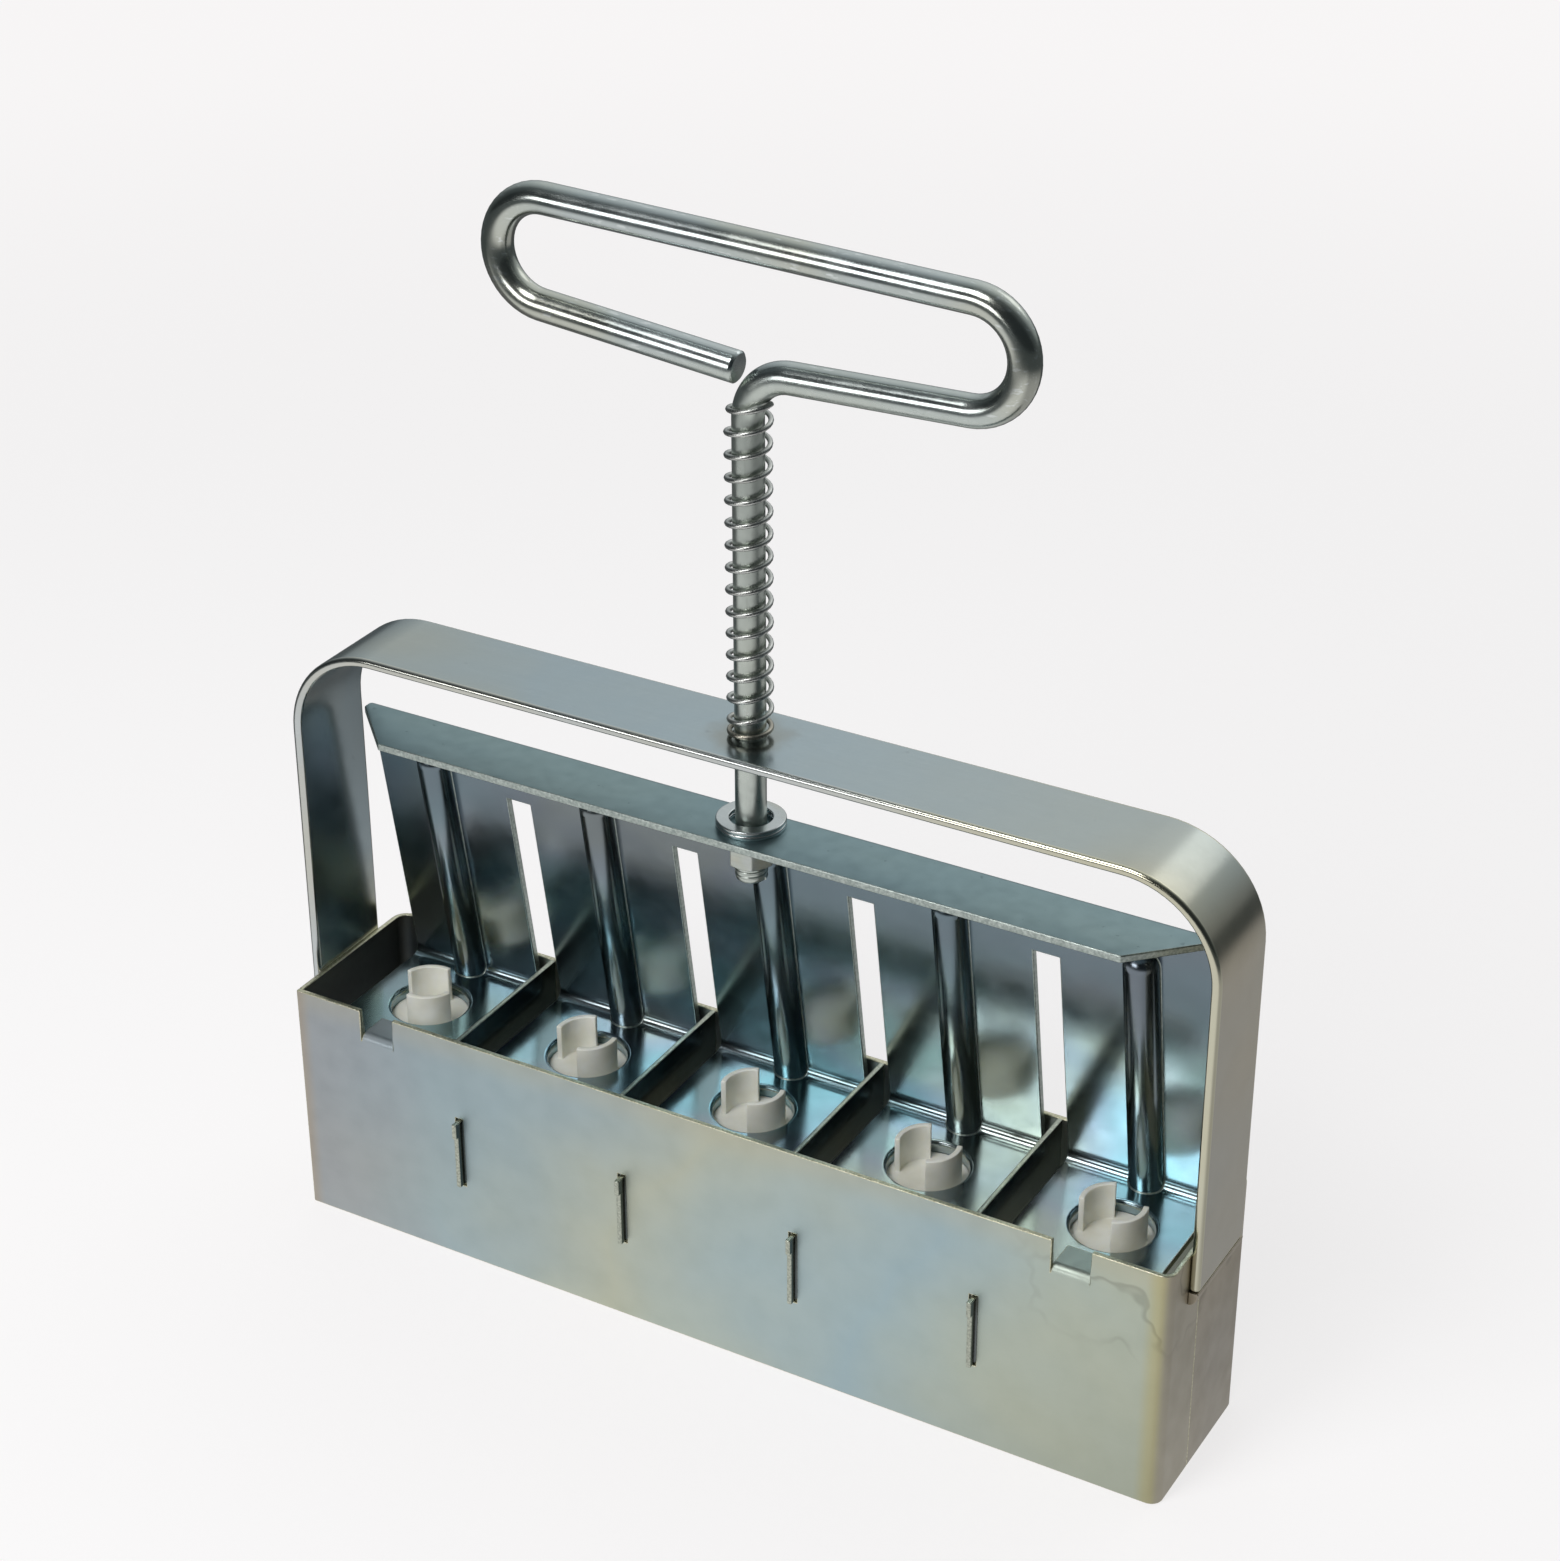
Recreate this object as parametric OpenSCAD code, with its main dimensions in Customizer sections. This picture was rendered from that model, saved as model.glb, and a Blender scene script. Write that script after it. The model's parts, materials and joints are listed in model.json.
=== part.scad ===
// Hand soil blocker with five cells in a row.
// Origin: centre of the casing's bottom rim. X runs along the row, Y from front to rear, Z up.

/* [Casing] */
// Inside width of one cell, along the row
cell_w = 38; // [34:0.5:45]
// Inside depth of a cell, front to rear
cell_d = 35; // [32:0.5:45]
// Height of the casing from its bottom rim to its top rim
case_h = 53; // [50:0.5:62]
// Thickness of the casing sheet
case_t = 1; // [0.8:0.1:1.4]
// Outside radius of the bend at the right front corner
front_bend_r = 2.5; // [1.8:0.1:5]
// Outside radius of the two bends at the rear corners
rear_bend_r = 3.5; // [1.8:0.1:5]
// Length of the flap that the front sheet turns round the right end
flap_len = 13.5; // [10:0.5:16]

/* [Dividers] */
// Thickness of the divider sheet
divider_t = 1; // [0.8:0.1:1.4]
// Height of the lower edge of the divider's tabs above the bottom rim
tab_z = 18.4; // [8:0.2:22]
// Height of a divider tab
tab_h = 15.7; // [10:0.1:18]
// How far a divider tab stands out of the casing
tab_out = 1.5; // [1:0.1:3]
// Height of the nib at the top of a divider tab
nib_h = 3.5; // [2:0.1:5]
// How much further the nib stands out
nib_out = 0.6; // [0.3:0.1:1]
// Clearance between a tab and its slot, all round
slot_clear = 0.35; // [0.1:0.05:0.5]

/* [Stop tabs] */
// Width of the two notches in the front panel's top edge
notch_w = 8; // [6:0.5:11]
// Inside radius of the bend that turns each stop tab inward
stop_bend_r = 0.8; // [0.6:0.1:1.2]
// Gap between the raised foot plates and the stop tabs
stop_gap = 0.3; // [0.2:0.05:0.6]

/* [Carrying strap] */
// Width of the flat strap, front to rear
strap_w = 21; // [16:0.5:24]
// Thickness of the strap
strap_t = 2; // [1.5:0.1:2.5]
// Height of the strap's upper face above the bottom rim
strap_top = 129.6; // [122:0.1:140]
// Outside radius of the strap's two upper corners
strap_r = 20; // [12:0.5:26]
// How far the strap's legs lap down over the casing's ends
strap_lap = 8; // [5:0.5:14]
// Height of the weld under each leg
weld_h = 3; // [2:0.1:4]

/* [Plunger pressing] */
// Thickness of the plunger's sheet
plunger_t = 1.5; // [1.2:0.1:1.8]
// Height of the foot plates' upper face above the bottom rim
plate_top = 46; // [42:0.1:47]
// Height of the top flange's upper face above the bottom rim
flange_top = 110.5; // [106:0.1:113]
// Gap between the plunger's ends and the casing's end walls
end_clear = 4.8; // [3.5:0.1:7]
// Width of the slits between the legs
slit_w = 5.4; // [4:0.1:6.5]
// Height of the slits' upper ends above the bottom rim
slit_top = 95.5; // [88:0.1:98]
// Gap between the foot plates and the front and rear walls
plate_clear = 0.5; // [0.4:0.05:1]
// Inside radius of the bend behind the foot plates
plunger_bend_r = 2; // [1.5:0.1:3]
// Inside radius of the bend behind the flange
flange_bend_r = 1; // [0.8:0.1:2]
// Distance of the flange's front edge from the rod's axis
flange_front = 8.7; // [7.5:0.1:11]
// Length of the 45 degree cuts at the flange's two front corners
flange_cut = 12; // [4:0.1:13]
// Radius of the stiffening bead on each leg
bead_r = 3.5; // [2.5:0.1:4]
// How far a bead's axis lies in front of the leg's face
bead_proud = 0.4; // [0:0.05:0.8]
// Height that a bead reaches above the slits
bead_rise = 4.5; // [1:0.1:6]
// Wall of a bead, thinned where the sheet is drawn out
bead_wall = 1; // [0.8:0.05:1.3]

/* [Seed pins] */
// Diameter of the hole in each foot plate
pin_hole = 16; // [14:0.1:18]
// Depth of the collar drawn down round each hole
collar_h = 1.2; // [0.8:0.1:2]
// Radius of the hole's rounded upper edge
hole_lip_r = 0.9; // [0.5:0.1:1.2]
// Clearance between a pin's hub and the hole, on the radius
hub_clear = 0.05; // [0.02:0.01:0.1]
// Depth of the hub's floor below the foot plate's upper face
hub_drop = 2.4; // [2:0.1:2.6]
// Outside diameter of the ring that the two petals follow
petal_d = 13.2; // [11:0.1:14]
// Wall of the petals
petal_t = 1.1; // [0.8:0.1:1.6]
// Height of the petals above the foot plate
petal_h = 5.3; // [3:0.1:6.4]
// Angle that each petal spans
petal_arc = 88; // [60:1:110]
// Width of the pin's flange past the collar, on the radius
pin_flange_w = 0.6; // [0.3:0.1:1.5]
// Thickness of the pin's flange
pin_flange_t = 1.5; // [1:0.1:2.5]
// Diameter of the dibble that presses the seed hole
dibble_d = 10; // [6:0.2:12]
// Length of the dibble with its round end
dibble_len = 9; // [7:0.2:12]

/* [Handle rod] */
// Diameter of the rod
rod_d = 6; // [5.6:0.1:6.6]
// Diameter of the threaded end under the flange
thread_d = 4.8; // [4.4:0.1:5.2]
// Clearance of the rod in the strap's hole, on the radius
rod_clear = 0.1; // [0.05:0.01:0.1]
// Clearance of the thread in the flange's hole, on the radius
thread_clear = 0.2; // [0.1:0.05:0.3]
// Radius of the bend from the rod to the grip, to the rod's centre line
rod_bend_r = 9; // [8:0.1:12]
// Width of the grip, between the centre lines of its end bends
grip_w = 105.6; // [90:0.2:120]
// Height of the grip's upper bar above the bottom rim, to its centre line
grip_top = 224.3; // [212:0.1:240]
// Radius of the grip's end bends, to the centre line
grip_bend_r = 10.1; // [8.5:0.1:14]
// Slope of the grip's lower bars, in degrees
grip_sag = 3.7; // [0:0.1:6]
// Lean of the grip to the right, in degrees
grip_lean = 2; // [0:0.1:4]
// Gap between the cut end of the rod and the bend below it
grip_gap = 0.4; // [0.3:0.05:1]

/* [Washers and nut] */
// Outside diameter of the two washers on the flange
washer_d = 13.5; // [11:0.1:14.5]
// Bore of these washers
washer_bore = 8.3; // [6.8:0.1:9]
// Thickness of each of them
washer_t = 0.9; // [0.7:0.1:2]
// Outside diameter of the washer under the flange
lock_washer_d = 8.8; // [8.6:0.1:10.5]
// Gap between that washer and the flange's bend
washer_room = 0.1; // [0.05:0.05:1]
// Thickness of that washer
lock_washer_t = 1; // [0.8:0.1:1.5]
// Width of the nut across its flats
nut_af = 8; // [7.5:0.1:10]
// Height of the nut
nut_h = 5.5; // [3.5:0.1:6.5]
// Length of thread below the nut
thread_past = 3.5; // [0.5:0.1:4]
// Clearance between the thread's crests and the nut's bore, on the radius
nut_clear = 0.05; // [0.02:0.01:0.1]

/* [Return spring] */
// Diameter of the spring's wire
wire_d = 1; // [0.8:0.05:1.2]
// Clearance between the spring and the rod, on the radius
spring_clear = 0.7; // [0.6:0.05:1]
// Full turns of the spring
spring_turns = 16.5; // [10.5:1:18.5]
// Gap between the spring's lowest turn and the strap
spring_seat = 0.05; // [0.02:0.01:0.2]
// Gap between the spring's last turn and the rod's bend
spring_end_gap = 0.3; // [0.2:0.05:0.5]

/* [Hidden] */
$fn = 64;

// Cut that reaches past any face it opens
cut = 1;
cells = 5;
pitch = cell_w + divider_t;
case_l = cells * cell_w + (cells - 1) * divider_t + 2 * case_t;
case_d = cell_d + 2 * case_t;
end_x = case_l / 2;
wall_y = case_d / 2;
// The flap's rear edge, where the rear shell's right end meets it
flap_y = -wall_y + flap_len;
slot_h = tab_h + 2 * slot_clear;
slot_w = divider_t + 2 * slot_clear;
notch_x = (cells - 1) / 2 * pitch;

// The stop tabs lie just above the raised foot plates
stop_z = plate_top + stop_gap;
stop_bend_z = stop_z - stop_bend_r;
// A tab is the sheet that the notch gave up, less what its bend took
stop_len = case_h - stop_bend_z - PI / 2 * (stop_bend_r + case_t / 2);

strap_low = case_h - strap_lap;
strap_x = end_x + strap_t;

// The leg's lean: its two bends are tangent to one sloping line
plate_rear = cell_d / 2 - plate_clear;
plunger_len = case_l - 2 * case_t - 2 * end_clear;
low_bend = [plate_rear - plunger_bend_r - plunger_t, plate_top + plunger_bend_r];
high_bend = [lock_washer_d / 2 + washer_room, flange_top - plunger_t - flange_bend_r];
bend_run = norm(high_bend - low_bend);
lean = atan2(low_bend.x - high_bend.x, high_bend.y - low_bend.y)
       + asin((plunger_bend_r - flange_bend_r) / bend_run);
leg_out = [cos(lean), sin(lean)];
bead_top = slit_top + bead_rise;
// How deep a bead's root lies behind the leg's front face
bead_root = 0.3;

hub_top = plate_top - hub_drop;
collar_low = plate_top - plunger_t - collar_h;
collar_d = pin_hole + 2 * plunger_t;
pin_flange_d = collar_d + 2 * pin_flange_w;
// Direction in which the front petal of each pin looks, seen from above
petal_turn = [304, 328, 333, 336, 334];

flange_low = flange_top - plunger_t;
rod_r = rod_d / 2;
thread_low = flange_low - lock_washer_t - nut_h - thread_past;

// The grip in the plane y = 0, points as [x, z], before it leans
grip_end = [grip_w / 2 - grip_bend_r, grip_top - grip_bend_r];
low_tangent = grip_end + grip_bend_r * [sin(grip_sag), -cos(grip_sag)];
// Height of the rod's bend, which makes the lower bar tangent to both bends
rod_bend_z = (low_tangent * [-sin(grip_sag), cos(grip_sag)] - rod_bend_r * (1 - sin(grip_sag)))
             / cos(grip_sag);
rod_bend = [rod_bend_r, rod_bend_z];
low_bar_z = low_tangent.y - low_tangent.x * tan(grip_sag);
cut_end_x = rod_bend_r - sqrt((rod_bend_r + rod_r + grip_gap) ^ 2
                              - (low_bar_z - rod_r - rod_bend_z) ^ 2);
cut_end = [cut_end_x, low_bar_z - cut_end_x * tan(grip_sag)];
bend_out = rod_bend + rod_bend_r * [-sin(grip_sag), cos(grip_sag)];
// A point of the grip once the grip leans over about the rod's bend
function lean_over(p) =
    let (d = p - rod_bend)
    rod_bend + [d.x * cos(grip_lean) + d.y * sin(grip_lean),
                d.y * cos(grip_lean) - d.x * sin(grip_lean)];
// Length of the bands where bars and bends meet, how far they stand out, and the gap they bridge
band_len = 0.6;
band_proud = 0.01;
band_gap = 0.1;

// The spring's centre line is a helix, closer in its first turn
coil_r = rod_r + spring_clear + wire_d / 2;
coil_low = strap_top + wire_d / 2 + spring_seat;
coil_high = rod_bend_z + sqrt((rod_bend_r - rod_r - wire_d / 2 - spring_end_gap) ^ 2
                              - (rod_bend_r - coil_r) ^ 2);
coil_pitch = (coil_high - coil_low) / (spring_turns - 0.5);
coil_start = -360 * (spring_turns % 1);
rings_per_turn = 8;
ring_sides = 6;

zinc = [0.62, 0.66, 0.66];
bright_zinc = [0.72, 0.75, 0.76];
dark_zinc = [0.42, 0.50, 0.52];
nylon = [0.86, 0.84, 0.78];
spring_steel = [0.50, 0.50, 0.49];

// ---------------------------------------------------------------- bent sheet and bent rod

// A bend in a sheet's section: a sector of a ring from one angle to another, up to 180 degrees
module sheet_bend(centre, inner_r, thickness, from, to) {
    reach = 2 * (inner_r + thickness);
    middle = (from + to) / 2;
    translate(centre)
        intersection() {
            difference() {
                circle(r = inner_r + thickness);
                circle(r = inner_r);
            }
            polygon([[0, 0],
                     reach * [cos(from), sin(from)],
                     2 * reach * [cos(middle), sin(middle)],
                     reach * [cos(to), sin(to)]]);
        }
}

// A section drawn as [y, z], drawn out along X
module along_x(length) {
    rotate([90, 0, 90]) linear_extrude(height = length, center = true) children();
}

// A straight bar in the plane y = 0 between two [x, z] points, shortened at either end
module rod_bar(from, to, short_from, short_to) {
    way = (to - from) / norm(to - from);
    start = from + short_from * way;
    translate([start.x, 0, start.y]) rotate([0, atan2(way.x, way.y), 0])
        cylinder(h = norm(to - from) - short_from - short_to, d = rod_d);
}

// A bend of the rod in the plane y = 0 about an [x, z] point
module rod_arc(centre, radius, from, to) {
    translate([centre.x, 0, centre.y]) rotate([90, 0, 0]) rotate([0, 0, from])
        rotate_extrude(angle = to - from) translate([radius, 0]) circle(d = rod_d);
}

// The band of rod where a bend of the grip runs out into a bar, at an angle about the bend
module rod_band(centre, radius, angle) {
    at = centre + radius * [cos(angle), sin(angle)];
    translate([at.x, 0, at.y]) rotate([0, -angle, 0])
        cylinder(h = band_len, d = rod_d + 2 * band_proud, center = true);
}

// ---------------------------------------------------------------- casing

// Front sheet in plan: straight along the front, bent round the right corner into the flap
module front_plan() {
    translate([-end_x, -wall_y]) square([case_l - front_bend_r, case_t]);
    sheet_bend([end_x - front_bend_r, -wall_y + front_bend_r],
               front_bend_r - case_t, case_t, -90, 0);
    translate([end_x - case_t, -wall_y + front_bend_r])
        square([case_t, flap_len - front_bend_r]);
}

// Stop tab: the notch's sheet turned inward over a small bend
module stop_tab() {
    inner_y = -wall_y + case_t;
    along_x(notch_w) {
        sheet_bend([inner_y + stop_bend_r, stop_bend_z], stop_bend_r, case_t, 90, 180);
        translate([inner_y + stop_bend_r, stop_z]) square([stop_len, case_t]);
    }
}

// One row of slots for the dividers' tabs, through a wall at y
module tab_slots(y) {
    for (i = [1:cells - 1])
        translate([(i - cells / 2) * pitch - slot_w / 2, y - case_t / 2 - cut, tab_z - slot_clear])
            cube([slot_w, case_t + 2 * cut, slot_h]);
}

module front_panel() {
    color(zinc) {
        difference() {
            linear_extrude(height = case_h) front_plan();
            tab_slots(-wall_y + case_t / 2);
            for (side = [-1, 1])
                translate([side * notch_x - notch_w / 2, -wall_y - cut, stop_bend_z])
                    cube([notch_w, case_t + 2 * cut, case_h]);
        }
        for (side = [-1, 1])
            translate([side * notch_x, 0, 0]) stop_tab();
    }
}

// Rear sheet in plan: left end, rear and right end in one piece
module rear_plan() {
    bend_x = end_x - rear_bend_r;
    bend_y = wall_y - rear_bend_r;
    inner_r = rear_bend_r - case_t;
    translate([-end_x, -wall_y + case_t]) square([case_t, bend_y + wall_y - case_t]);
    sheet_bend([-bend_x, bend_y], inner_r, case_t, 90, 180);
    translate([-bend_x, wall_y - case_t]) square([2 * bend_x, case_t]);
    sheet_bend([bend_x, bend_y], inner_r, case_t, 0, 90);
    translate([end_x - case_t, flap_y]) square([case_t, bend_y - flap_y]);
}

module rear_shell() {
    color(zinc)
        difference() {
            linear_extrude(height = case_h) rear_plan();
            tab_slots(wall_y - case_t / 2);
        }
}

// Divider between two cells, with a tab through the front wall and one through the rear
module divider(index) {
    body_d = case_d - 2 * case_t;
    tab_d = case_d + 2 * tab_out;
    nib_d = tab_d + 2 * nib_out;
    color(dark_zinc)
        translate([(index - cells / 2) * pitch - divider_t / 2, 0, 0]) {
            translate([0, -body_d / 2, 0]) cube([divider_t, body_d, case_h]);
            translate([0, -tab_d / 2, tab_z]) cube([divider_t, tab_d, tab_h]);
            translate([0, -nib_d / 2, tab_z + tab_h - nib_h]) cube([divider_t, nib_d, nib_h]);
        }
}

// ---------------------------------------------------------------- strap

// Outline of an arch with round upper corners, down to the legs' lower ends
module arch(half_w, top, corner_r) {
    translate([-half_w, strap_low]) square([2 * half_w, top - corner_r - strap_low]);
    translate([corner_r - half_w, strap_low])
        square([2 * (half_w - corner_r), top - strap_low]);
    for (side = [-1, 1])
        translate([side * (half_w - corner_r), top - corner_r]) circle(r = corner_r);
}

module carry_strap() {
    color(zinc)
        difference() {
            rotate([90, 0, 0])
                linear_extrude(height = strap_w, center = true)
                    difference() {
                        arch(strap_x, strap_top, strap_r);
                        arch(strap_x - strap_t, strap_top - strap_t, strap_r - strap_t);
                        translate([-end_x, strap_low - cut]) square([case_l, 2 * cut]);
                    }
            translate([0, 0, strap_top - strap_t - cut])
                cylinder(h = strap_t + 2 * cut, r = rod_r + rod_clear);
        }
}

// Weld that fills the corner under a leg's lower end, with a rounded face
module weld(side) {
    steps = 6;
    face = [for (i = [0:steps]) [strap_t * cos(90 * i / steps), -weld_h * sin(90 * i / steps)]];
    color(bright_zinc)
        translate([side * end_x, 0, strap_low]) mirror([side < 0 ? 1 : 0, 0, 0])
            rotate([90, 0, 0])
                linear_extrude(height = strap_w, center = true) polygon(concat([[0, 0]], face));
}

// ---------------------------------------------------------------- plunger

// Everything in front of a face that runs round the pressing's two bends at these radii, as
// [y, z], out to one line before the foot plate and to another before the flange
module in_front(low_r, high_r, plate_front, flange_edge) {
    middle = (low_bend.y + high_bend.y) / 2;
    polygon([[plate_front, low_bend.y - low_r], [low_bend.x, low_bend.y - low_r],
             low_bend, low_bend + low_r * leg_out, high_bend + high_r * leg_out, high_bend,
             [high_bend.x, high_bend.y + high_r], [flange_edge, high_bend.y + high_r],
             [flange_edge, middle], [plate_front, middle]]);
    translate(low_bend) circle(r = low_r);
    translate(high_bend) circle(r = high_r);
}

// The pressing's section: foot plate, leg and flange
module plunger_section() {
    difference() {
        in_front(plunger_bend_r + plunger_t, flange_bend_r + plunger_t, -plate_rear, -flange_front);
        in_front(plunger_bend_r, flange_bend_r, -case_d, -case_d);
    }
}

// A bead's line on the front of a leg at height z, as [y, z]
function bead_point(z) =
    let (start = low_bend + (plunger_bend_r - bead_proud) * leg_out)
    [start.x - (z - start.y) * tan(lean), z];

// A bar of radius r along the bead's line from height z, round at its upper end, and at its
// lower end too where asked
module bead_bar(r, z, round_low) {
    low = bead_point(z);
    run = bead_point(bead_top) - low;
    long = norm(run);
    translate([0, low.x, low.y]) rotate([-atan2(run.x, run.y), 0, 0])
        rotate_extrude()
            intersection() {
                translate([0, -r]) square([r, long + 2 * r]);
                union() {
                    square([r, long]);
                    translate([0, long]) circle(r = r);
                    if (round_low) circle(r = r);
                }
            }
}

// The part of a bead in front of the leg, rooted a little way into the sheet
module bead() {
    back = low_bend + (plunger_bend_r + bead_root) * leg_out;
    intersection() {
        bead_bar(bead_r, plate_top, false);
        translate([0, back.x, back.y]) rotate([lean, 0, 0])
            translate([-2 * bead_r, -4 * bead_r, -plate_top])
                cube([4 * bead_r, 4 * bead_r, 2 * flange_top]);
    }
}

// The groove that the bead leaves in the leg's rear, round at both ends
module bead_groove() {
    bead_bar(bead_r - bead_wall, plate_top + bead_r + plunger_bend_r, true);
}

// Collar drawn down round a hole
module collar() {
    translate([0, 0, collar_low]) cylinder(h = plate_top - plunger_t / 2 - collar_low, d = collar_d);
}

// Bore of a hole with its rounded upper edge
module pin_bore() {
    translate([0, 0, collar_low - cut]) cylinder(h = plate_top - collar_low + 2 * cut, d = pin_hole);
    translate([0, 0, plate_top - hole_lip_r])
        rotate_extrude()
            difference() {
                square([pin_hole / 2 + hole_lip_r, hole_lip_r + cut]);
                translate([pin_hole / 2 + hole_lip_r, 0]) circle(r = hole_lip_r);
            }
}

// What the blank has lost: the slits, the flange's corners and the holes
module plunger_cuts() {
    deep = case_d + 2 * cut;
    for (i = [1:cells - 1])
        translate([(i - cells / 2) * pitch - slit_w / 2, -deep / 2, 0])
            cube([slit_w, deep, slit_top]);
    for (side = [-1, 1])
        translate([side * plunger_len / 2, -flange_front, slit_top + bead_rise])
            rotate([0, 0, 45])
                cube([sqrt(2) * flange_cut, sqrt(2) * flange_cut, 2 * (flange_top - slit_top)],
                     center = true);
    for (i = [0:cells - 1])
        translate([(i - (cells - 1) / 2) * pitch, 0, 0]) {
            pin_bore();
            bead_groove();
        }
    translate([0, 0, flange_low - cut])
        cylinder(h = plunger_t + 2 * cut, r = thread_d / 2 + thread_clear);
}

module plunger_plate() {
    color(dark_zinc)
        difference() {
            union() {
                along_x(plunger_len) plunger_section();
                for (i = [0:cells - 1])
                    translate([(i - (cells - 1) / 2) * pitch, 0, 0]) {
                        bead();
                        collar();
                    }
            }
            plunger_cuts();
        }
}

// Seed pin: hub in the plate's hole, two petals above, flange and dibble below
module seed_pin(index) {
    tip_r = dibble_d / 2;
    petal_top = plate_top + petal_h;
    petal_low = collar_low - pin_flange_t / 2;
    color(nylon)
        translate([(index - (cells + 1) / 2) * pitch, 0, 0]) {
            translate([0, 0, collar_low])
                cylinder(h = hub_top - collar_low, r = pin_hole / 2 - hub_clear);
            translate([0, 0, collar_low - pin_flange_t]) cylinder(h = pin_flange_t, d = pin_flange_d);
            translate([0, 0, collar_low - pin_flange_t - dibble_len + tip_r]) {
                cylinder(h = dibble_len - tip_r, r = tip_r);
                sphere(r = tip_r);
            }
            for (turn = [0, 180])
                rotate([0, 0, petal_turn[index - 1] + turn - petal_arc / 2])
                    translate([0, 0, petal_low])
                        rotate_extrude(angle = petal_arc)
                            translate([petal_d / 2 - petal_t, 0])
                                square([petal_t, petal_top - petal_low]);
        }
}

// ---------------------------------------------------------------- rod, washers and nut

module handle_rod() {
    color(bright_zinc) {
        translate([0, 0, thread_low]) cylinder(h = flange_top - thread_low + cut, d = thread_d);
        translate([0, 0, flange_top]) cylinder(h = rod_bend_z - flange_top - band_gap, d = rod_d);
        rod_arc(rod_bend, rod_bend_r, 90 + grip_sag - grip_lean, 180);
        rod_band(rod_bend, rod_bend_r, 180);
        rod_band(rod_bend, rod_bend_r, 90 + grip_sag - grip_lean);
        grip();
    }
}

// The grip from the rod's bend round to its cut end
module grip() {
    right = lean_over(grip_end);
    left = lean_over([-grip_end.x, grip_end.y]);
    right_turn = [-90 + grip_sag - grip_lean, 90 - grip_lean];
    left_turn = [90 - grip_lean, 270 - grip_sag - grip_lean];
    rod_bar(lean_over(bend_out), lean_over(low_tangent), band_gap, band_gap);
    rod_bar(lean_over([-grip_end.x, grip_top]), lean_over([grip_end.x, grip_top]), band_gap, band_gap);
    rod_bar(lean_over(cut_end), lean_over([-low_tangent.x, low_tangent.y]), 0, band_gap);
    rod_arc(right, grip_bend_r, right_turn[0], right_turn[1]);
    rod_arc(left, grip_bend_r, left_turn[0], left_turn[1]);
    for (turn = right_turn) rod_band(right, grip_bend_r, turn);
    for (turn = left_turn) rod_band(left, grip_bend_r, turn);
}

// Plain washer with its lower face at z
module washer(z, thickness, outer_d, bore_d) {
    translate([0, 0, z])
        difference() {
            cylinder(h = thickness, d = outer_d);
            translate([0, 0, -cut]) cylinder(h = thickness + 2 * cut, d = bore_d);
        }
}

module washer_upper() {
    color(bright_zinc) washer(flange_top + washer_t, washer_t, washer_d, washer_bore);
}

module washer_lower() {
    color(bright_zinc) washer(flange_top, washer_t, washer_d, washer_bore);
}

module lock_washer() {
    color(bright_zinc)
        washer(flange_low - lock_washer_t, lock_washer_t, lock_washer_d, thread_d + 2 * thread_clear);
}

module lock_nut() {
    corner_d = nut_af / cos(30);
    chamfer = (corner_d - nut_af) / 2;
    color(bright_zinc)
        translate([0, 0, flange_low - lock_washer_t - nut_h])
            difference() {
                intersection() {
                    cylinder(h = nut_h, d = corner_d, $fn = 6);
                    union() {
                        cylinder(h = chamfer, d1 = nut_af, d2 = corner_d + 2 * chamfer);
                        translate([0, 0, chamfer])
                            cylinder(h = nut_h - 2 * chamfer, d = corner_d + 2 * chamfer);
                        translate([0, 0, nut_h - chamfer])
                            cylinder(h = chamfer, d1 = corner_d + 2 * chamfer, d2 = nut_af);
                    }
                }
                translate([0, 0, -cut]) cylinder(h = nut_h + 2 * cut, d = thread_d + 2 * nut_clear);
            }
}

// ---------------------------------------------------------------- spring

// The wire's centre line at a number of turns from its lower end
function coil_height(turn) = coil_low + coil_pitch * (turn < 1 ? turn / 2 : turn - 0.5);
function coil_point(turn) =
    let (a = coil_start + 360 * turn) [coil_r * cos(a), coil_r * sin(a), coil_height(turn)];
function coil_way(turn) = let (a = coil_start + 360 * turn) [-sin(a), cos(a), 0];
// The centre line with a straight end of one wire diameter at both ends
coil_line = concat(
    [coil_point(0) - wire_d * coil_way(0)],
    [for (i = [0:spring_turns * rings_per_turn]) coil_point(i / rings_per_turn)],
    [coil_point(spring_turns) + wire_d * coil_way(spring_turns)]);
coil_rings = len(coil_line);

// One ring of the tube, square to the way the wire runs there
function coil_ring(i) =
    let (before = coil_line[max(i - 1, 0)],
         after = coil_line[min(i + 1, coil_rings - 1)],
         way = (after - before) / norm(after - before),
         side = cross(way, [0, 0, 1]) / norm(cross(way, [0, 0, 1])),
         up = cross(side, way))
    [for (k = [0:ring_sides - 1])
        coil_line[i] + wire_d / 2 * (cos(360 * k / ring_sides) * side
                                     + sin(360 * k / ring_sides) * up)];

// Least distance between points of the wire that are half a turn or more apart, less its thickness
least_gap = min([for (i = [0:coil_rings - 1], j = [i + rings_per_turn / 2:coil_rings - 1])
    norm(coil_line[i] - coil_line[j])]) - wire_d;
echo(spring_least_gap_to_itself = least_gap);

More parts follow.
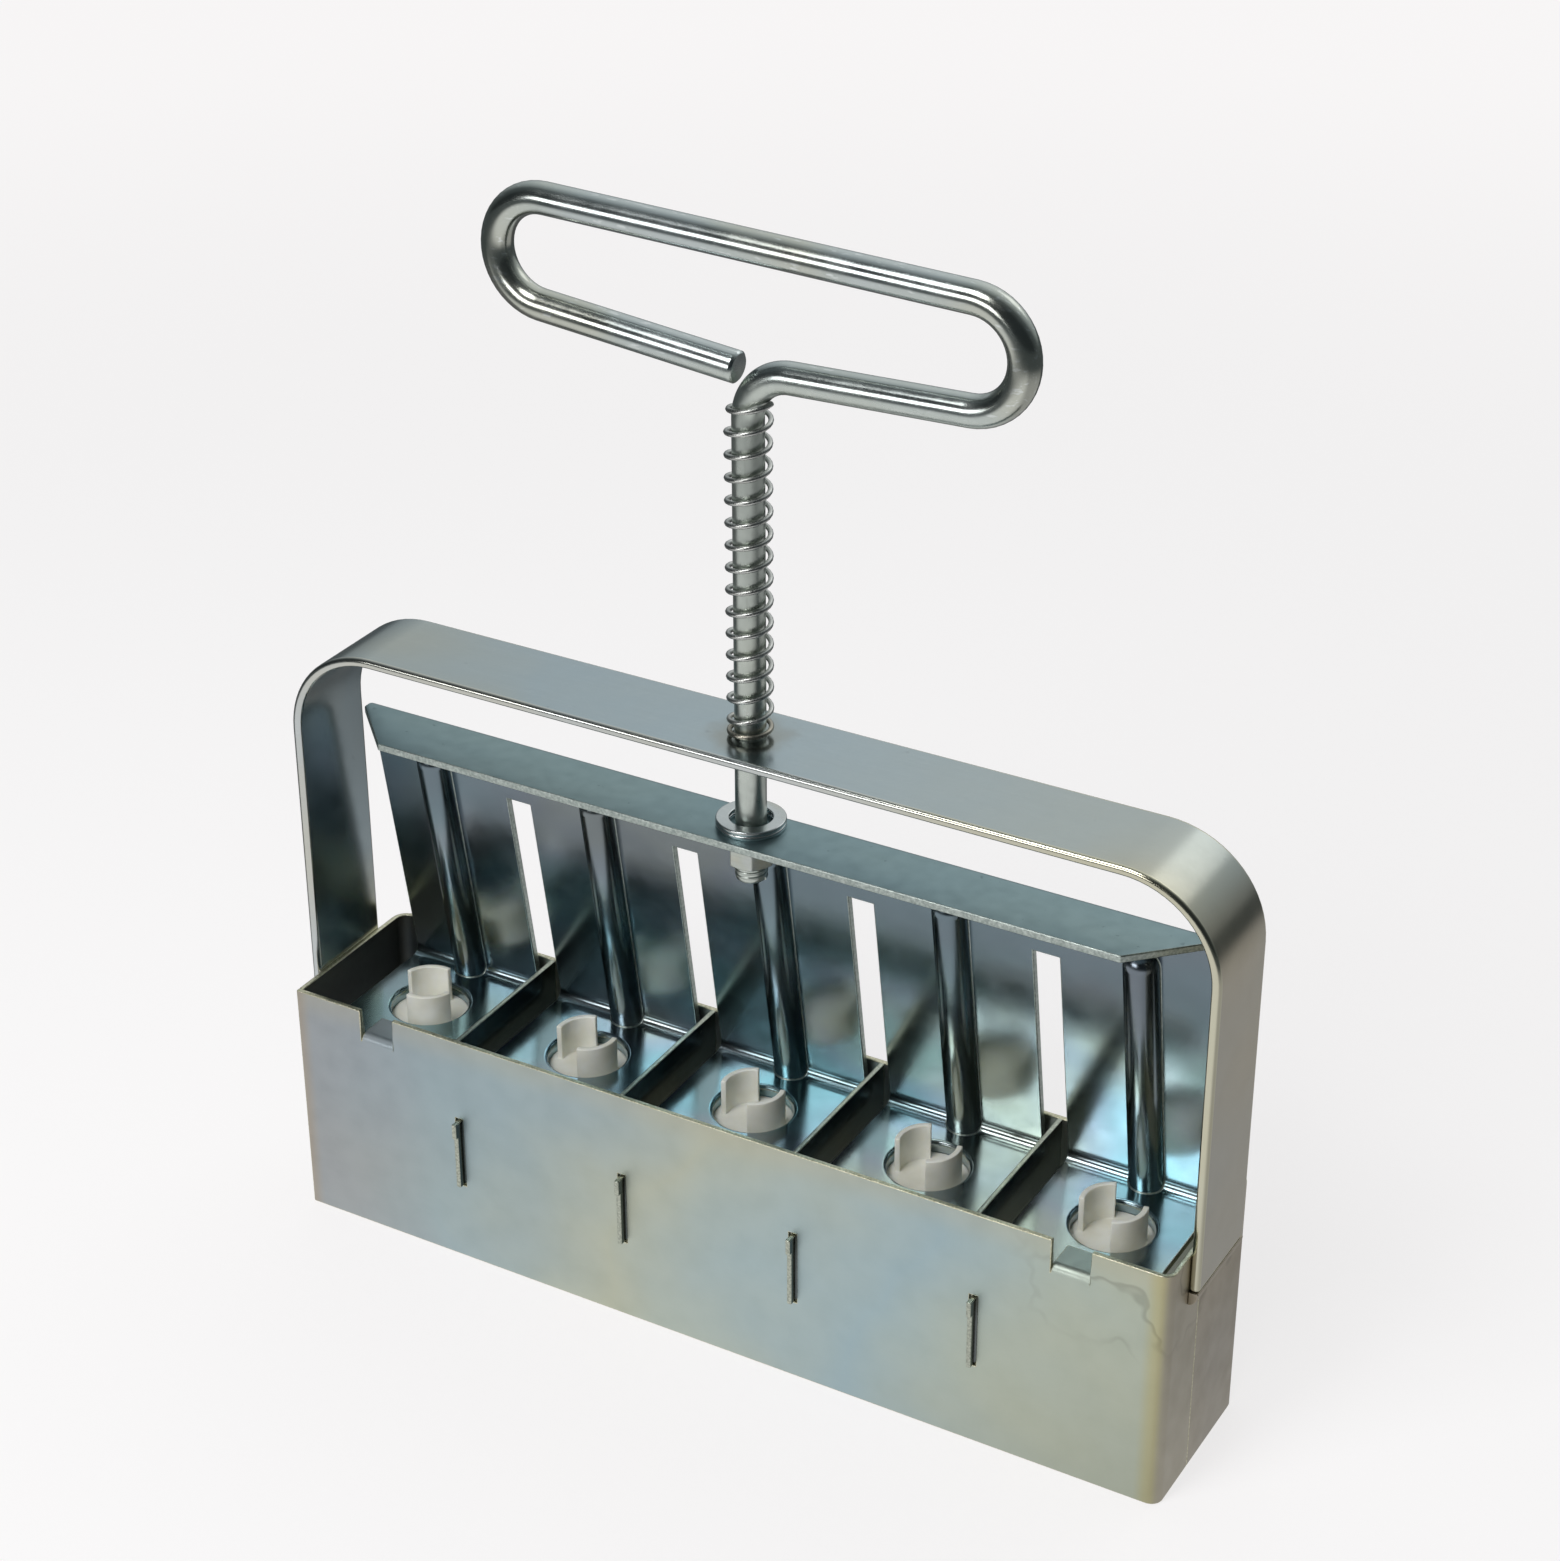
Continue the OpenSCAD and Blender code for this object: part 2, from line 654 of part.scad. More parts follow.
module return_spring() {
    last = coil_rings - 1;
    color(spring_steel)
        polyhedron(
            points = [for (i = [0:last]) each coil_ring(i)],
            faces = concat(
                [for (i = [0:last - 1], k = [0:ring_sides - 1], half = [0, 1])
                    let (a = i * ring_sides + k,
                         b = i * ring_sides + (k + 1) % ring_sides)
                    half == 0 ? [a, b, b + ring_sides] : [a, b + ring_sides, a + ring_sides]],
                [for (k = [1:ring_sides - 2]) [0, k + 1, k]],
                [for (k = [1:ring_sides - 2])
                    last * ring_sides * [1, 1, 1] + [0, k, k + 1]]));
}

// ---------------------------------------------------------------- nodes

front_panel();
rear_shell();
divider(1);  // divider_1
divider(2);  // divider_2
divider(3);  // divider_3
divider(4);  // divider_4
carry_strap();
weld(-1);  // weld_left
weld(1);  // weld_right
plunger_plate();
seed_pin(1);  // seed_pin_1
seed_pin(2);  // seed_pin_2
seed_pin(3);  // seed_pin_3
seed_pin(4);  // seed_pin_4
seed_pin(5);  // seed_pin_5
handle_rod();
washer_upper();
washer_lower();
lock_washer();
lock_nut();
return_spring();
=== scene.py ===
"""Looks of a hand soil blocker with five cells: zinc-plated sheet and rod, nylon pins, one spring.

Everything is in metres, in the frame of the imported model: the origin lies at the centre of the
casing's bottom rim, X runs along the row, Y from front to rear and Z up.
"""

import json
import math

import bmesh
import bpy
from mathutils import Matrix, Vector
from mathutils.bvhtree import BVHTree

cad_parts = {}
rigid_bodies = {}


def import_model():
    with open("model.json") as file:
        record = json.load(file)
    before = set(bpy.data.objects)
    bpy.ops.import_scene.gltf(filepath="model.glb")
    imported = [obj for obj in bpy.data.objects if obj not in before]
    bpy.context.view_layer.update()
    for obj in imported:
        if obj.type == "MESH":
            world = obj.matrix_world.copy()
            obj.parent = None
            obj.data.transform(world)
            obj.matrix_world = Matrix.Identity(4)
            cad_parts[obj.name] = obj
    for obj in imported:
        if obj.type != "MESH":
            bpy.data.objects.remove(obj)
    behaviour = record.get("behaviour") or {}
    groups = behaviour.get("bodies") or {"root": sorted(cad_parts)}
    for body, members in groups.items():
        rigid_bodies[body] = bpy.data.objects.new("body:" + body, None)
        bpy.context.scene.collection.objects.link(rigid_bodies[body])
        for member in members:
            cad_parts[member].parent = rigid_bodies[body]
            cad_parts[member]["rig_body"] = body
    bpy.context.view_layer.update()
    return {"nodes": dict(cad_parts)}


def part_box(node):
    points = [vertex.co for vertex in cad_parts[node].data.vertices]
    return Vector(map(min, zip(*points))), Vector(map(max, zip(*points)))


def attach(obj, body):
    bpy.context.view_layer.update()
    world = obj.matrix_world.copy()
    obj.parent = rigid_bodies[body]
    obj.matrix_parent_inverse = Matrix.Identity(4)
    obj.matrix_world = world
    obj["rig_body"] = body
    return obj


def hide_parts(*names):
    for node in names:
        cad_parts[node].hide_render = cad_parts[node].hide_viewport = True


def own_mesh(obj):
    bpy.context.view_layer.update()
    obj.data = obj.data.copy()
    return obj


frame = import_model()


# ------------------------------------------------------------------ casing
# The casing is two sheets of 1 mm steel, the front one lapping round the right end, with four
# dividers whose tabs come through slots. The front is satin and cloudy, bends and rims are straw,
# the ends are browner, and the dip left thin tide lines at the right top corner.

MM = 0.001


def srgb(text):
    """A colour written as #rrggbb, as linear RGBA."""
    parts = [int(text[i : i + 2], 16) / 255 for i in (1, 3, 5)]
    return [p / 12.92 if p <= 0.04045 else ((p + 0.055) / 1.055) ** 2.4 for p in parts] + [1]


def add(tree, kind, *values, out=None, stops=(), **named):
    """Adds a node to a tree and gives back one of its outputs: the first, or the one out names.

    Values fill the inputs in use, in their order. A capitalised name is an input, a lower-case one
    is a setting of the node. A value may be a socket, which is then linked. Stops are those of a
    colour ramp, each a place and a colour text or a grey."""
    node = tree.nodes.new(kind)
    for key, value in named.items():
        if key[0].islower():
            setattr(node, key, value)
    filled = list(zip([socket for socket in node.inputs if socket.enabled], values))
    filled += [(node.inputs[key.replace("_", " ")], value)
               for key, value in named.items() if key[0].isupper()]
    for socket, value in filled:
        if isinstance(value, bpy.types.NodeSocket):
            tree.links.new(value, socket)
        else:
            socket.default_value = value
    for _ in stops[2:]:
        node.color_ramp.elements.new(0.5)
    for number, (at, tone) in enumerate(stops):
        element = node.color_ramp.elements[number]
        element.position = at
        element.color = srgb(tone) if isinstance(tone, str) else (tone, tone, tone, 1)
    return node.outputs[out] if out else next((s for s in node.outputs if s.enabled), None)


def bare(name):
    """A new material whose node tree is empty."""
    material = bpy.data.materials.new(name)
    material.use_nodes = True
    material.node_tree.nodes.clear()
    return material


def clouds(tree, size_mm, detail=3, stretch=(1, 1, 1), seed=0.0):
    """A pattern from 0 to 1 whose clouds are about size_mm wide, stretched along the axes."""
    place = add(tree, "ShaderNodeTexCoord", out="Object")
    placed = add(tree, "ShaderNodeMapping", place, Location=(seed, seed * 0.7, seed * 0.4),
                 Scale=tuple(1 / s for s in stretch))
    return add(tree, "ShaderNodeTexNoise", placed, Scale=1000 / size_mm, Detail=detail)


def past(tree, axis, low, high):
    """A mask along an axis of the object, in metres: 0 before low and 1 beyond high."""
    place = add(tree, "ShaderNodeTexCoord", out="Object")
    along = add(tree, "ShaderNodeSeparateXYZ", place, out=axis)
    return add(tree, "ShaderNodeMapRange", along, low, high, interpolation_type="SMOOTHSTEP")


def tinted(tree, film, tone, where, share=1.0):
    """A film that turns to a tone where a mask says, by a share of it."""
    part = add(tree, "ShaderNodeMath", where, share, operation="MULTIPLY")
    return add(tree, "ShaderNodeMix", part, film, srgb(tone), data_type="RGBA")


def finished(material, height, bump_mm, **surface):
    """Ends a material: its shader takes a bump from a height and goes to the output."""
    tree = material.node_tree
    normal = add(tree, "ShaderNodeBump", Height=height, Strength=1, Distance=bump_mm * MM)
    add(tree, "ShaderNodeOutputMaterial",
        add(tree, "ShaderNodeBsdfPrincipled", Normal=normal, **surface))
    return material


def zinc_sheet(name, blue, straw, tint, roughness, spread, cloud_mm, grain, speck, seed,
               rolled="X", bump_mm=0.003, zone=None, worn_zone=None):
    """Steel electroplated with zinc under a clear passivate. The thin film shifts in wide clouds
    from a blue to a straw tone, with a third tint in the steps between and in small stains, over
    light specks and the lines of the rolled sheet. A zone changes the film, a worn zone its
    roughness. The rolled lines are finer than 0.1 mm, and are drawn 0.35 mm wide so that they
    show."""
    stain_mm, speck_mm, line_mm, wear_mm = 9, 0.9, 0.35, 5
    material = bare(name)
    tree = material.node_tree
    film = add(tree, "ShaderNodeValToRGB", clouds(tree, cloud_mm, 2, (1.5, 1, 1), seed),
               stops=((0.36, blue), (0.46, blue), (0.54, tint), (0.64, straw)))
    stains = add(tree, "ShaderNodeValToRGB", clouds(tree, stain_mm, 4, seed=seed + 3.1),
                 stops=((0.3, 0.16), (0.7, 0.0)))
    film = tinted(tree, film, tint, stains)
    dots = clouds(tree, speck_mm, 2, seed=seed + 5.7)
    specks = add(tree, "ShaderNodeValToRGB", dots, stops=((0.56, 0.0), (0.72, speck)))
    film = tinted(tree, film, "#eef1ee", specks)
    drawn_out = {"X": (30, 1, 1), "Z": (1, 1, 30)}[rolled]
    lines = clouds(tree, line_mm, 2, drawn_out, seed + 1.3)
    darker = add(tree, "ShaderNodeValToRGB", lines, stops=((0.3, 0.5), (0.7, 1.0)))
    film = add(tree, "ShaderNodeMix", grain, film, darker, data_type="RGBA",
               blend_type="MULTIPLY")
    if zone:
        film = zone(tree, film)
    worn = add(tree, "ShaderNodeValToRGB", clouds(tree, wear_mm, 4, seed=seed + 8.2),
               stops=((0.35, roughness), (0.7, roughness + spread)))
    if worn_zone:
        worn = worn_zone(tree, worn)
    half_lines = add(tree, "ShaderNodeMath", lines, 0.5, operation="MULTIPLY")
    half_dots = add(tree, "ShaderNodeMath", dots, 0.5, operation="MULTIPLY")
    height = add(tree, "ShaderNodeMath", half_lines, half_dots, operation="ADD")
    return finished(material, height, bump_mm, Base_Color=film, Metallic=1.0, Roughness=worn)


def cut_edge(name, tone, light, seed):
    """The sheared edge of a plated sheet: straw-coloured and uneven, because the shear tears the
    metal in short burnished lines. They are about 0.2 mm wide, drawn 0.5 mm so that they show."""
    material = bare(name)
    tree = material.node_tree
    lines = clouds(tree, 0.5, seed=seed)
    film = add(tree, "ShaderNodeValToRGB", lines, stops=((0.3, tone), (0.7, light)))
    worn = add(tree, "ShaderNodeValToRGB", clouds(tree, 2, 2, seed=seed + 2),
               stops=((0.3, 0.28), (0.7, 0.45)))
    return finished(material, lines, 0.02, Base_Color=film, Metallic=1.0, Roughness=worn)


def softened(name, round_mm, sheet, edge=None, segments=2, thick_mm=0.0, bore_mm=0.0):
    """A copy of a CAD node whose sharp edges are rounded. In a sheet thick_mm thick, the sheared
    faces, behind which the metal goes deeper than that, and the rounds take the edge material.
    The rim of a bore round the rod's axis gets a quarter of the round."""
    merged, flat, sharp_edge, creased = 2e-6, 0.6, 35, 46  # in metres, then degrees
    behind_face, past_sheet = 1e-5, 1.9  # where a ray starts, and how many sheets deep it looks
    source = frame["nodes"][name]
    bm = bmesh.new()
    bm.from_mesh(source.data)
    bmesh.ops.remove_doubles(bm, verts=bm.verts, dist=merged)
    if edge and thick_mm:
        tree = BVHTree.FromBMesh(bm)
        for f in bm.faces:
            start = f.calc_center_median() - f.normal * behind_face
            hit = tree.ray_cast(start, -f.normal, thick_mm * past_sheet * MM)
            f.material_index = 0 if hit[0] else 1
    bmesh.ops.dissolve_limit(bm, angle_limit=math.radians(flat), verts=bm.verts, edges=bm.edges,
                             delimit={"MATERIAL"})
    sharp = [e for e in bm.edges
             if len(e.link_faces) == 2 and e.calc_face_angle(0) > math.radians(sharp_edge)]
    at_bore = [all(v.co.xy.length < bore_mm * MM for v in e.verts) for e in sharp]
    rim = [e for e, inner in zip(sharp, at_bore) if inner]
    rest = [e for e, inner in zip(sharp, at_bore) if not inner]
    for edges, width in ((rim, round_mm / 4), (rest, round_mm)):
        bmesh.ops.bevel(bm, geom=[e for e in edges if e.is_valid], offset=width * MM,
                        offset_type="OFFSET", segments=segments, profile=0.5, affect="EDGES",
                        clamp_overlap=False, material=1 if edge else 0)
    bmesh.ops.triangulate(bm, faces=[f for f in bm.faces if len(f.verts) > 4])
    for f in bm.faces:
        f.smooth = True
    mesh = bpy.data.meshes.new(name + "_sheet")
    bm.to_mesh(mesh)
    bm.free()
    mesh.materials.append(sheet)
    if edge:
        mesh.materials.append(edge)
    piece = bpy.data.objects.new(name + "_finished", mesh)
    bpy.context.scene.collection.objects.link(piece)
    mesh.set_sharp_from_angle(angle=math.radians(creased))
    piece.modifiers.new("lean", "WEIGHTED_NORMAL").keep_sharp = True
    shown = piece.evaluated_get(bpy.context.evaluated_depsgraph_get())
    piece.data = bpy.data.meshes.new_from_object(shown)
    piece.modifiers.clear()
    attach(piece, source["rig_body"])
    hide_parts(name)


def casing_zone(tree, film):
    """Straw at the rim and the right bend, brown at the ends, tide lines in the top corner."""
    film = tinted(tree, film, "#cbc4ab", past(tree, "Z", 0.046, 0.053), 0.35)
    ends = add(tree, "ShaderNodeMath", past(tree, "X", 0.0945, 0.0978),
               past(tree, "X", -0.0945, -0.0978), operation="ADD")
    film = tinted(tree, film, "#b9ae9f", ends, 0.75)
    bend = add(tree, "ShaderNodeMath", past(tree, "X", 0.0925, 0.0955),
               past(tree, "X", 0.0977, 0.0962), operation="MULTIPLY")
    film = tinted(tree, film, "#c9c08c", bend, 0.6)
    tide = add(tree, "ShaderNodeValToRGB", clouds(tree, 22, seed=2.6),
               stops=((0.475, 0.0), (0.492, 0.26), (0.5, 0.26), (0.512, 0.0)))
    corner = add(tree, "ShaderNodeMath", past(tree, "X", 0.062, 0.084),
                 past(tree, "Z", 0.030, 0.042), operation="MULTIPLY")
    return tinted(tree, film, "#5d574a", tide, corner)


def front_zone(tree, film):
    """The front's film drifts along the panel: lilac-blue, straw, blue and straw again."""
    place = add(tree, "ShaderNodeTexCoord", out="Object")
    across, _, up = add(tree, "ShaderNodeSeparateXYZ", place).node.outputs
    sway = add(tree, "ShaderNodeMath", clouds(tree, 70, seed=1.7), 0.5, operation="SUBTRACT")
    sway = add(tree, "ShaderNodeMath", sway, 0.12, operation="MULTIPLY")
    slant = add(tree, "ShaderNodeMath", up, 0.4, operation="MULTIPLY")
    shift = add(tree, "ShaderNodeMath", sway, slant, operation="SUBTRACT")
    along = add(tree, "ShaderNodeMath", across, shift, operation="ADD")
    along = add(tree, "ShaderNodeMapRange", along, -0.13, 0.10, interpolation_type="SMOOTHSTEP")
    drift = add(tree, "ShaderNodeValToRGB", along,
                stops=((0.0, "#a5a9b4"), (0.20, "#aabfc7"), (0.48, "#d0d1b8"), (0.78, "#b2cad0"),
                       (1.0, "#cfd2b8")))
    film = add(tree, "ShaderNodeMix", 0.7, film, drift, data_type="RGBA")
    return casing_zone(tree, film)


def rear_zone(tree, film):
    """The inside of the left end is painted dark: a painted dark reflection."""
    painted_dark_inside = add(tree, "ShaderNodeMath", past(tree, "X", -0.0976, -0.0972),
                 past(tree, "X", -0.090, -0.0968), operation="MULTIPLY")
    return tinted(tree, casing_zone(tree, film), "#2c3133", painted_dark_inside, 0.75)


# The casing's plate has gone satin, so its reflections are broad and its clouds easy to see.
casing_film = zinc_sheet("zinc_casing", "#b4c2c8", "#cfceb9", "#c1cac3", roughness=0.42,
                         spread=0.10, cloud_mm=95, grain=0.06, speck=0.04, seed=0.4,
                         zone=front_zone)
casing_rear = zinc_sheet("zinc_casing_rear", "#a5b1b5", "#bdb9a3", "#b0b5ab", roughness=0.40,
                         spread=0.12, cloud_mm=80, grain=0.06, speck=0.05, seed=4.4,
                         zone=rear_zone)
casing_edge = cut_edge("zinc_cut_edge", "#b5b292", "#e9e6cf", 0.7)
softened("front_panel", 0.2, casing_film, casing_edge, thick_mm=1)
softened("rear_shell", 0.2, casing_rear, casing_edge, thick_mm=1)

# The dividers are bright zinc in the shade of the casing; their film is painted dark, as painted
# shade and painted dark reflection.
divider_painted_dark_film = zinc_sheet("zinc_divider", "#485557", "#5c625c", "#4f5856", roughness=0.20,
                          spread=0.08, cloud_mm=30, grain=0.06, speck=0.03, seed=2.2, rolled="Z",
                          bump_mm=0.0008)
divider_edge = cut_edge("zinc_divider_edge", "#989e92", "#cdd1c2", 3.3)
for number in range(1, 5):
    softened(f"divider_{number}", 0.2, divider_painted_dark_film, divider_edge, thick_mm=1)


# ------------------------------------------------------------------ carrying strap and its welds
# A flat bar of 2 mm steel with rounded edges, bent into an arch over the casing and welded to its
# two ends. Round the rod's hole a darker brownish ring is painted: painted shade and reflection of
# the spring's foot.


def strap_zone(tree, film):
    """Warmer to the right and at the right leg, painted shade round the hole, finely pitted."""
    film = tinted(tree, film, "#b9b6a4", past(tree, "X", 0.0, 0.09), 0.4)
    film = tinted(tree, film, "#b8ac98", past(tree, "X", 0.094, 0.0985), 0.5)
    place = add(tree, "ShaderNodeTexCoord", out="Object")
    across, deep, _ = add(tree, "ShaderNodeSeparateXYZ", place).node.outputs
    squares = [add(tree, "ShaderNodeMath", side, side, operation="MULTIPLY")
               for side in (across, deep)]
    off_rod = add(tree, "ShaderNodeMath", *squares, operation="ADD")
    off_rod = add(tree, "ShaderNodeMath", off_rod, operation="SQRT")
    ragged = add(tree, "ShaderNodeMath", clouds(tree, 5), 0.006, operation="MULTIPLY")
    off_rod = add(tree, "ShaderNodeMath", off_rod, ragged, operation="ADD")
    # A darker brownish ring round the rod's hole: painted shade and reflection of the spring's
    # foot.
    ring = add(tree, "ShaderNodeMapRange", off_rod, 0.0130, 0.0075,
               interpolation_type="SMOOTHSTEP")
    film = tinted(tree, film, "#8f8369", ring, 0.38)
    pits = add(tree, "ShaderNodeValToRGB", clouds(tree, 2.6, 5, seed=3.3),
               stops=((0.70, 0.0), (0.76, 0.2)))
    return tinted(tree, film, "#7d8688", pits)


def strap_edge_zone(tree, film):
    """The strap's edge turns straw to the right, as its top does."""
    return tinted(tree, film, "#d3cdae", past(tree, "X", 0.0, 0.08), 0.7)


# The rolled bar is smoother than the casing's sheet, so it mirrors the studio, and its rounded
# edges, polished by hands, mirror it brightest.
strap_film = zinc_sheet("zinc_strap", "#aebdc3", "#c0bca9", "#b5bcb8", roughness=0.19,
                        spread=0.06, cloud_mm=70, grain=0.05, speck=0.03, seed=6.1,
                        bump_mm=0.0012, zone=strap_zone)
strap_edge = zinc_sheet("zinc_strap_edge", "#cdd2d2", "#cfcfc6", "#cacdca", roughness=0.15,
                        spread=0.06, cloud_mm=30, grain=0.05, speck=0.05, seed=6.9,
                        bump_mm=0.001, zone=strap_edge_zone)
softened("carry_strap", 0.85, strap_film, strap_edge, segments=6, thick_mm=2, bore_mm=6)
for side in ("left", "right"):
    softened(f"weld_{side}", 0.2, casing_rear)


# ------------------------------------------------------------------ plunger pressing
# One 1.5 mm sheet: five foot plates, five beaded legs and the flange. Legs and plates are bright
# and mirror each other in teal, violet and black. The flange is satin, with a few scratches.

FLANGE = (0.1085, 0.1095)  # the heights between which the legs' finish turns into the flange's


def flange_zone(tree, film):
    """Legs painted darker toward the flange, painted shade and dark reflection under it, then the
    satin top of the flange with its pits.
    """
    film = tinted(tree, film, "#636973", past(tree, "Z", 0.070, 0.096), 0.68)
    satin = add(tree, "ShaderNodeValToRGB", clouds(tree, 40, stretch=(2, 1, 1), seed=7.7),
                stops=((0.35, "#86a0a8"), (0.65, "#93a9ab")))
    pits = add(tree, "ShaderNodeValToRGB", clouds(tree, 1.6, 4, seed=9.1),
               stops=((0.68, 0.0), (0.74, 0.4)))
    satin = tinted(tree, satin, "#5f7074", pits)
    return add(tree, "ShaderNodeMix", past(tree, "Z", *FLANGE), film, satin, data_type="RGBA")


def flange_worn(tree, worn):
    """The flange is duller than the legs, where hands and soil have rubbed it."""
    satin = add(tree, "ShaderNodeValToRGB", clouds(tree, 3), stops=((0.3, 0.34), (0.7, 0.44)))
    return add(tree, "ShaderNodeMix", past(tree, "Z", *FLANGE), worn, satin, data_type="RGBA")


# The pressing has kept its bright plate, so its reflections are sharp.
plunger_film = zinc_sheet("zinc_plunger", "#93b0b6", "#aab3ab", "#9daab2", roughness=0.17,
                          spread=0.06, cloud_mm=40, grain=0.06, speck=0.03, seed=9.3, rolled="Z",
                          bump_mm=0.002, zone=flange_zone, worn_zone=flange_worn)
plunger_edge = cut_edge("zinc_plunger_edge", "#98a39f", "#c9d2cc", 5.1)
softened("plunger_plate", 0.25, plunger_film, plunger_edge, segments=3, thick_mm=1.5)


# ------------------------------------------------------------------ seed pins
# Natural nylon mouldings, milky and a little see-through, snapped into the foot plates. Light goes
# 1 to 2 mm into them. The mould left them finely matt, drawn 0.25 mm coarse so that it shows.

nylon = bare("nylon_natural")
milky = clouds(nylon.node_tree, 5)
nylon_tone = add(nylon.node_tree, "ShaderNodeValToRGB", milky,
                 stops=((0.3, "#f2f1e8"), (0.7, "#e6e4d6")))
nylon_worn = add(nylon.node_tree, "ShaderNodeValToRGB", milky, stops=((0.3, 0.32), (0.7, 0.42)))
finished(nylon, clouds(nylon.node_tree, 0.25, 2), 0.01, Base_Color=nylon_tone,
         Roughness=nylon_worn, IOR=1.53, Subsurface_Weight=0.35,
         Subsurface_Radius=(0.002, 0.0018, 0.0014), Subsurface_Scale=1.0)
for number in range(1, 6):
    softened(f"seed_pin_{number}", 0.22, nylon, segments=3)


# ------------------------------------------------------------------ handle rod
# One 6 mm drawn steel rod, plated, threaded at the foot and bent at the top into a grip that
# closes on itself. It is swept by Geometry Nodes along the rod's centre line.

SHANK_TOP = (0.204, 0.200)  # the heights between which the grip's finish turns into the shank's


def rod_zone(tree, film):
    """Short drawing marks along the rod, darker on the shank than on the grip, and painted glints
    on the grip.
    """
    shank = past(tree, "Z", *SHANK_TOP)
    marks = add(tree, "ShaderNodeValToRGB", clouds(tree, 0.5, stretch=(1, 1, 6), seed=1.9),
                stops=((0.58, 0.0), (0.68, 0.22)))
    film = tinted(tree, film, "#6f7473", marks, shank)
    film = tinted(tree, film, "#d0d6cb", shank, 0.6)
    glints = add(tree, "ShaderNodeValToRGB", clouds(tree, 0.8, stretch=(4, 1, 1), seed=4.2),
                 stops=((0.60, 0.0), (0.70, 0.5)))
    grip = add(tree, "ShaderNodeMath", 1.0, shank, operation="SUBTRACT")
    return tinted(tree, film, "#eef3f3", glints, grip)


def rod_worn(tree, worn):
    """The shank, which slides in the strap, is duller than the grip."""
    dull = add(tree, "ShaderNodeValToRGB", clouds(tree, 2), stops=((0.3, 0.26), (0.7, 0.38)))
    return add(tree, "ShaderNodeMix", past(tree, "Z", *SHANK_TOP), worn, dull, data_type="RGBA")


# Drawn rod is smooth, so its plate is the brightest of the tool.
rod_film = zinc_sheet("zinc_rod", "#c5cdcd", "#c8cabf", "#c3cac6", roughness=0.16, spread=0.08,
                      cloud_mm=30, grain=0.05, speck=0.08, seed=12.4, bump_mm=0.0012,
                      zone=rod_zone, worn_zone=rod_worn)


def new_shape(name, **inputs):
    """An empty Geometry Nodes tree whose inputs are given as kind=(names)."""
    tree = bpy.data.node_groups.new(name, "GeometryNodeTree")
    for kind, labels in inputs.items():
        for label in labels:
            tree.interface.new_socket(label, in_out="INPUT", socket_type="NodeSocket" + kind)
    tree.interface.new_socket("Bar", in_out="OUTPUT", socket_type="NodeSocketGeometry")
    return tree


def end_as_bar(tree, line, size, **narrowed):
    """Ends a tree: a round bar along a line, realised and in its material."""
    ring = add(tree, "GeometryNodeCurvePrimitiveCircle", size["Sides"], size["Radius"])
    bar = add(tree, "GeometryNodeCurveToMesh", line, ring, Fill_Caps=True, **narrowed)
    bar = add(tree, "GeometryNodeRealizeInstances", bar)
    bar = add(tree, "GeometryNodeSetMaterial", bar, Material=size["Material"])
    add(tree, "NodeGroupOutput", bar)


def made_by(tree, name, start, **sizes):
    """A piece that a tree makes from a starting mesh, turned into a plain mesh."""
    piece = bpy.data.objects.new(name, start)
    bpy.context.scene.collection.objects.link(piece)
    made = piece.modifiers.new(tree.name, "NODES")
    made.node_group = tree
    for socket in tree.interface.items_tree:
        if socket.in_out == "INPUT" and socket.socket_type != "NodeSocketGeometry":
            made[socket.identifier] = sizes[socket.name.replace(" ", "_").lower()]
    shown = piece.evaluated_get(bpy.context.evaluated_depsgraph_get())
    piece.data = bpy.data.meshes.new_from_object(shown)
    piece.modifiers.clear()
    for face in piece.data.polygons:
        face.use_smooth = len(face.vertices) == 4
    return piece


bent_bar = new_shape("bent_bar", Geometry=["Path"], Float=["Radius", "End share"], Int=["Sides"],
                     Material=["Material"])
size = add(bent_bar, "NodeGroupInput").node.outputs
ends = add(bent_bar, "GeometryNodeCurveEndpointSelection", 1, 1)
end_as_bar(bent_bar, add(bent_bar, "GeometryNodeMeshToCurve", size["Path"]), size,
           Scale=add(bent_bar, "GeometryNodeSwitch", ends, 1.0, size["End share"],
                     input_type="FLOAT"))

# The centre line lies in the plane y = 0, here as points [x, z] in millimetres. The grip's lower
# bar rises to the left by sag, and the whole grip leans to the right about the rod's bend.
rod_r, bend_r, end_r = 3.0, 9.0, 10.1
grip_w, grip_top, grip_gap = 105.6, 224.3, 0.4
sag, lean_deg = 3.7, 2.0
slope = math.radians(sag)
grip_end = Vector((grip_w / 2 - end_r, grip_top - end_r))
low_tangent = grip_end + end_r * Vector((math.sin(slope), -math.cos(slope)))
bend_z = (low_tangent.dot(Vector((-math.sin(slope), math.cos(slope))))
          - bend_r * (1 - math.sin(slope))) / math.cos(slope)
rod_bend = Vector((bend_r, bend_z))
low_bar_z = low_tangent.y - low_tangent.x * math.tan(slope)
cut_x = bend_r - math.sqrt((bend_r + rod_r + grip_gap) ** 2 - (low_bar_z - rod_r - bend_z) ** 2)


def lean_over(x, z):
    """A point of the grip once the grip leans to the right about the rod's bend."""
    d, a = Vector((x, z)) - rod_bend, math.radians(lean_deg)
    return rod_bend + Vector((d.x * math.cos(a) + d.y * math.sin(a),
                              d.y * math.cos(a) - d.x * math.sin(a)))


def turn_round(centre, radius, start, stop, steps=24):
    """Points of a bend about its centre, between two angles in degrees."""
    angles = [math.radians(start + (stop - start) * i / steps) for i in range(steps + 1)]
    return [centre + radius * Vector((math.cos(a), math.sin(a))) for a in angles]


